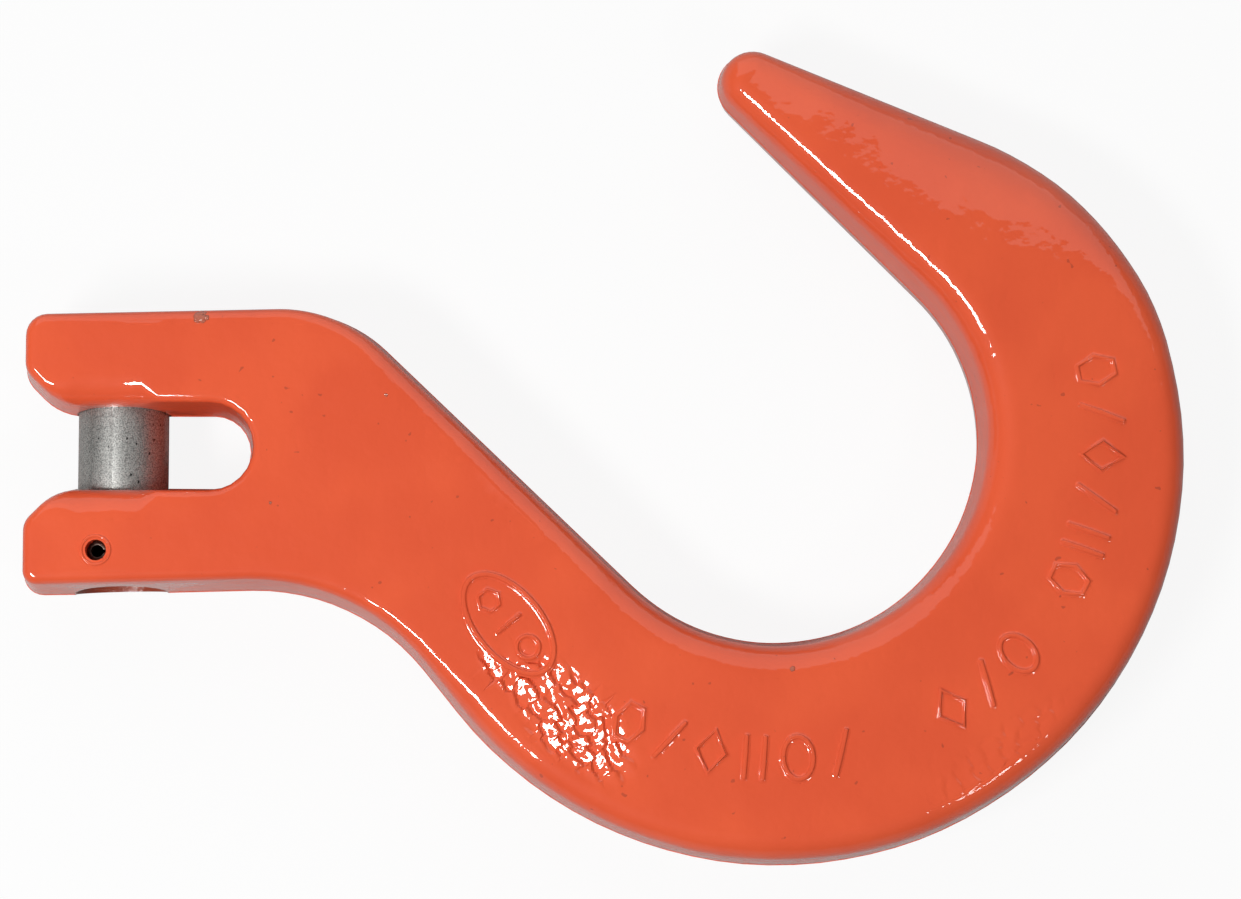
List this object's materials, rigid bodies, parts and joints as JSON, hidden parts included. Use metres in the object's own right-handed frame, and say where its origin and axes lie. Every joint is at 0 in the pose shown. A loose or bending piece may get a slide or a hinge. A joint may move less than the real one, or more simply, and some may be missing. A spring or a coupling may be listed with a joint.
{
  "type": "clevis chain hook",
  "caption": "Wide-throat forged chain hook with a fork end that pins onto a chain link and a round bowl that takes a ring, link or eye.",
  "frame": {"origin": "centre of the load pin, halfway through the hook's thickness", "axes": "+X from the load pin towards the bowl, +Y along the load pin towards the tip's side, +Z out of the flat face; the hook lies on its back face"},
  "size_m": [0.2884, 0.2037, 0.038],
  "materials": {
    "orange_enamel": "glossy baked enamel over a forged skin",
    "bare_steel": "matt grey heat-treated steel",
    "dark_spring_steel": "dark oiled spring steel"
  },
  "bodies": {
    "hook": {"hook_body": "orange_enamel", "load_pin": "bare_steel"},
    "retainer": {"retaining_pin": "dark_spring_steel"}
  },
  "joints": [
    {"name": "retaining_pin_slide", "type": "slide", "parent": "hook", "child": "retainer", "axis": [0, 0, 1], "range_m": [0, 0.036]}
  ]
}
